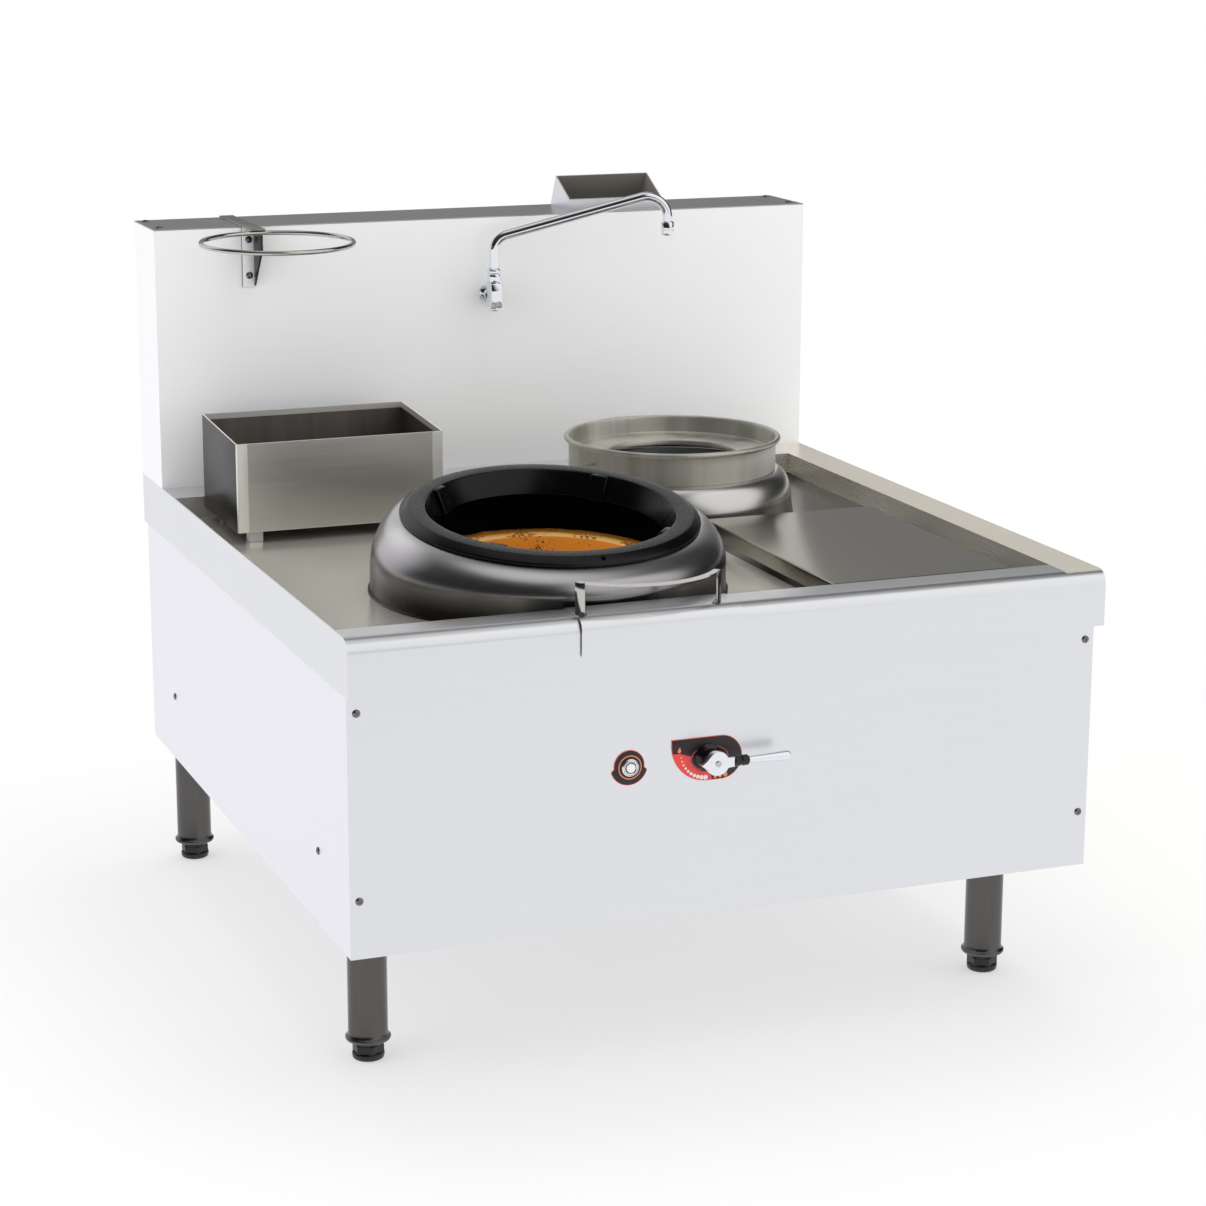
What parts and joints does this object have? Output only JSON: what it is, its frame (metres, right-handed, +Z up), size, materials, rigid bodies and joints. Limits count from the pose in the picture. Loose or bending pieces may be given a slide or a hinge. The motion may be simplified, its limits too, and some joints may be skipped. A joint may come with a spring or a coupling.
{
  "type": "wok range",
  "caption": "Stainless wok range with a tilted wok burner, rear pot ring, utensil box, swivel tap, ladle ring, flue, start button and gas lever on four adjustable feet.",
  "frame": {"origin": "on the floor under the centre of the whole range, guard handle included", "axes": "+X to the cook's right, +Y to the rear, +Z up"},
  "size_m": [1.2, 1.2806, 1.198],
  "materials": {
    "brushed stainless": "horizontally brushed stainless sheet",
    "satin stainless": "satin spun stainless",
    "dark steel": "dull grey steel tube",
    "black foot": "blackened cast foot",
    "cast iron": "sand-cast iron, heat-blackened",
    "firebrick": "rough refractory castable, orange",
    "chrome": "polished chrome",
    "badge": "printed black foil",
    "black plastic": "matte black moulding",
    "white plastic": "glossy white moulding",
    "brass": "machined brass",
    "galvanised": "galvanised steel"
  },
  "bodies": {
    "range": {"worktop": "brushed stainless", "drain_outlet": "satin stainless", "base_frame": "dark steel", "leg_tubes": "dark steel", "bottom_panel": "brushed stainless", "front_panel": "brushed stainless", "left_side_panel": "brushed stainless", "right_side_panel": "brushed stainless", "rear_panel": "brushed stainless", "splash_back": "brushed stainless", "splash_top_left": "brushed stainless", "splash_top_middle": "brushed stainless", "splash_top_right": "brushed stainless", "flue_outlet": "satin stainless", "flue_duct": "galvanised", "main_dome": "satin stainless", "burner_bowl": "galvanised", "firebrick": "firebrick", "burner_head": "cast iron", "igniter_rod": "satin stainless", "ignition_module": "black plastic", "heat_channel": "galvanised", "rear_chamber": "galvanised", "rear_dome": "satin stainless", "ladle_ring": "satin stainless", "ladle_bracket": "satin stainless", "ladle_screws": "satin stainless", "panel_screws": "satin stainless", "tap_body": "chrome", "tap_flange": "chrome", "tap_collar": "chrome", "water_pipe": "brass", "button_badge": "badge", "button_bezel": "chrome", "button_switch": "black plastic", "lever_badge": "badge", "lever_hub": "black plastic", "gas_valve": "brass", "gas_pipe": "brass", "gas_feed": "brass", "blower": "galvanised", "air_pipe": "galvanised"},
    "spout": {"tap_spout": "chrome", "tap_nozzle": "chrome"},
    "iron_ring": {"wok_ring": "cast iron"},
    "pot_ring": {"pot_ring": "satin stainless"},
    "cover_plate": {"cover_plate": "brushed stainless"},
    "utensil_box": {"utensil_box": "satin stainless", "utensil_box_feet": "satin stainless"},
    "guard": {"front_guard": "brushed stainless", "guard_handle": "satin stainless"},
    "button": {"start_button": "white plastic"},
    "gas_lever": {"lever_head": "chrome", "lever_collar": "black plastic", "lever_arm": "chrome", "lever_screw": "satin stainless"},
    "foot_front_left": {"foot_front_left": "black foot"},
    "foot_front_right": {"foot_front_right": "black foot"},
    "foot_rear_left": {"foot_rear_left": "black foot"},
    "foot_rear_right": {"foot_rear_right": "black foot"}
  },
  "joints": [
    {"name": "spout_swivel", "type": "hinge", "parent": "range", "child": "spout", "pos_m": [-0.0095, 0.45525, 1.01], "axis": [0, 0, 1], "range_deg": [-165, 15]},
    {"name": "lever_turn", "type": "hinge", "parent": "range", "child": "gas_lever", "pos_m": [-0.047, -0.58775, 0.47], "axis": [0, -1, 0], "range_deg": [0, 90]},
    {"name": "button_press", "type": "slide", "parent": "range", "child": "button", "axis": [0, 1, 0], "range_m": [0, 0.003], "stiffness_N_per_m": 300},
    {"name": "iron_ring_lift", "type": "slide", "parent": "range", "child": "iron_ring", "axis": [0, 0, 1], "range_m": [0, 0.15]},
    {"name": "pot_ring_lift", "type": "slide", "parent": "range", "child": "pot_ring", "axis": [0, 0, 1], "range_m": [0, 0.15]},
    {"name": "cover_plate_lift", "type": "slide", "parent": "range", "child": "cover_plate", "axis": [0, 0, 1], "range_m": [0, 0.15]},
    {"name": "utensil_box_lift", "type": "slide", "parent": "range", "child": "utensil_box", "axis": [0, 0, 1], "range_m": [0, 0.15]},
    {"name": "guard_lift", "type": "slide", "parent": "range", "child": "guard", "axis": [0, 0, 1], "range_m": [0, 0.15]},
    {"name": "foot_front_left_screw", "type": "slide", "parent": "range", "child": "foot_front_left", "axis": [0, 0, -1], "range_m": [0, 0.02]},
    {"name": "foot_front_right_screw", "type": "slide", "parent": "range", "child": "foot_front_right", "axis": [0, 0, -1], "range_m": [0, 0.02]},
    {"name": "foot_rear_left_screw", "type": "slide", "parent": "range", "child": "foot_rear_left", "axis": [0, 0, -1], "range_m": [0, 0.02]},
    {"name": "foot_rear_right_screw", "type": "slide", "parent": "range", "child": "foot_rear_right", "axis": [0, 0, -1], "range_m": [0, 0.02]}
  ]
}
